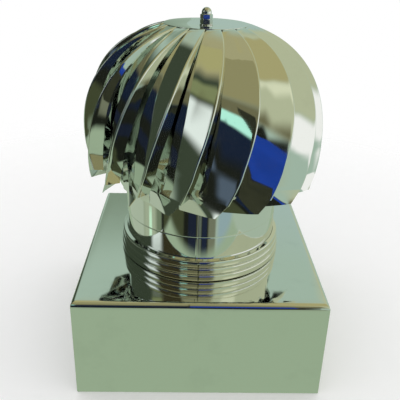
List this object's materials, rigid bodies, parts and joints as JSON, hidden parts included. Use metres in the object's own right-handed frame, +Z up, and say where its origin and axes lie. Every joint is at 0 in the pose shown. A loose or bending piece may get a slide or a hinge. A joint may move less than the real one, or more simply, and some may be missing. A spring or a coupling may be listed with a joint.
{
  "type": "spinning chimney cowl",
  "caption": "Wind-driven chimney cowl: a domed spiral vaned head spins on a vertical spindle over a round neck, on a square base box open below.",
  "frame": {"origin": "centre of the base box's open foot, on the plane it stands on", "axes": "+Z up along the spindle, -Y towards the front of the cowl as it was pictured, +X to the right"},
  "size_m": [0.3, 0.3, 0.4438],
  "materials": {
    "polished_sheet": "mirror-polished stainless steel",
    "zinc_steel": "bright zinc-plated steel",
    "bearing_steel": "ground bearing steel",
    "bright_fastener": "polished stainless fastener",
    "cage_brass": "machined brass"
  },
  "bodies": {
    "base": {"base_box": "polished_sheet", "bearing_housing": "zinc_steel", "bridge_rivets": "bright_fastener", "collar": "polished_sheet", "corner_laps": "polished_sheet", "lower_bearing_outer_ring": "bearing_steel", "lower_bearing_shields": "bearing_steel", "lower_bridge": "zinc_steel", "lower_retaining_ring": "bearing_steel", "neck_tube": "polished_sheet", "upper_bearing_outer_ring": "bearing_steel", "upper_bearing_shields": "bearing_steel", "upper_bridge": "zinc_steel", "upper_retaining_ring": "bearing_steel"},
    "head": {"acorn_nut": "bright_fastener", "backing_disc": "polished_sheet", "bottom_ring": "polished_sheet", "crown_cap": "polished_sheet", "crown_nut": "zinc_steel", "crown_washer": "zinc_steel", "lower_bearing_inner_ring": "bearing_steel", "lower_clamp_washer": "zinc_steel", "lower_lock_nut": "zinc_steel", "spacer_tube": "zinc_steel", "spindle": "zinc_steel", "top_nut": "bright_fastener", "top_washer": "bright_fastener", "upper_bearing_inner_ring": "bearing_steel", "upper_clamp_washer": "zinc_steel", "upper_lock_nut": "zinc_steel", "vane_01": "polished_sheet", "vane_02": "polished_sheet", "vane_03": "polished_sheet", "vane_04": "polished_sheet", "vane_05": "polished_sheet", "vane_06": "polished_sheet", "vane_07": "polished_sheet", "vane_08": "polished_sheet", "vane_09": "polished_sheet", "vane_10": "polished_sheet", "vane_11": "polished_sheet", "vane_12": "polished_sheet", "vane_13": "polished_sheet", "vane_14": "polished_sheet", "vane_15": "polished_sheet", "vane_16": "polished_sheet", "vane_17": "polished_sheet", "vane_18": "polished_sheet", "vane_rivets": "bright_fastener"},
    "lower_ball_set": {"lower_bearing_balls": "bearing_steel", "lower_bearing_cage": "cage_brass"},
    "upper_ball_set": {"upper_bearing_balls": "bearing_steel", "upper_bearing_cage": "cage_brass"}
  },
  "joints": [
    {"name": "head_spin", "type": "hinge", "parent": "base", "child": "head", "pos_m": [0, 0, 0.2], "axis": [0, 0, 1], "continuous": true},
    {"name": "lower_ball_orbit", "type": "hinge", "parent": "base", "child": "lower_ball_set", "pos_m": [0, 0, 0.15], "axis": [0, 0, 1], "continuous": true},
    {"name": "upper_ball_orbit", "type": "hinge", "parent": "base", "child": "upper_ball_set", "pos_m": [0, 0, 0.238], "axis": [0, 0, 1], "continuous": true}
  ],
  "couplings": [
    {"joint": "lower_ball_orbit", "follows": "head_spin", "ratio": 0.3706},
    {"joint": "upper_ball_orbit", "follows": "head_spin", "ratio": 0.3706}
  ]
}
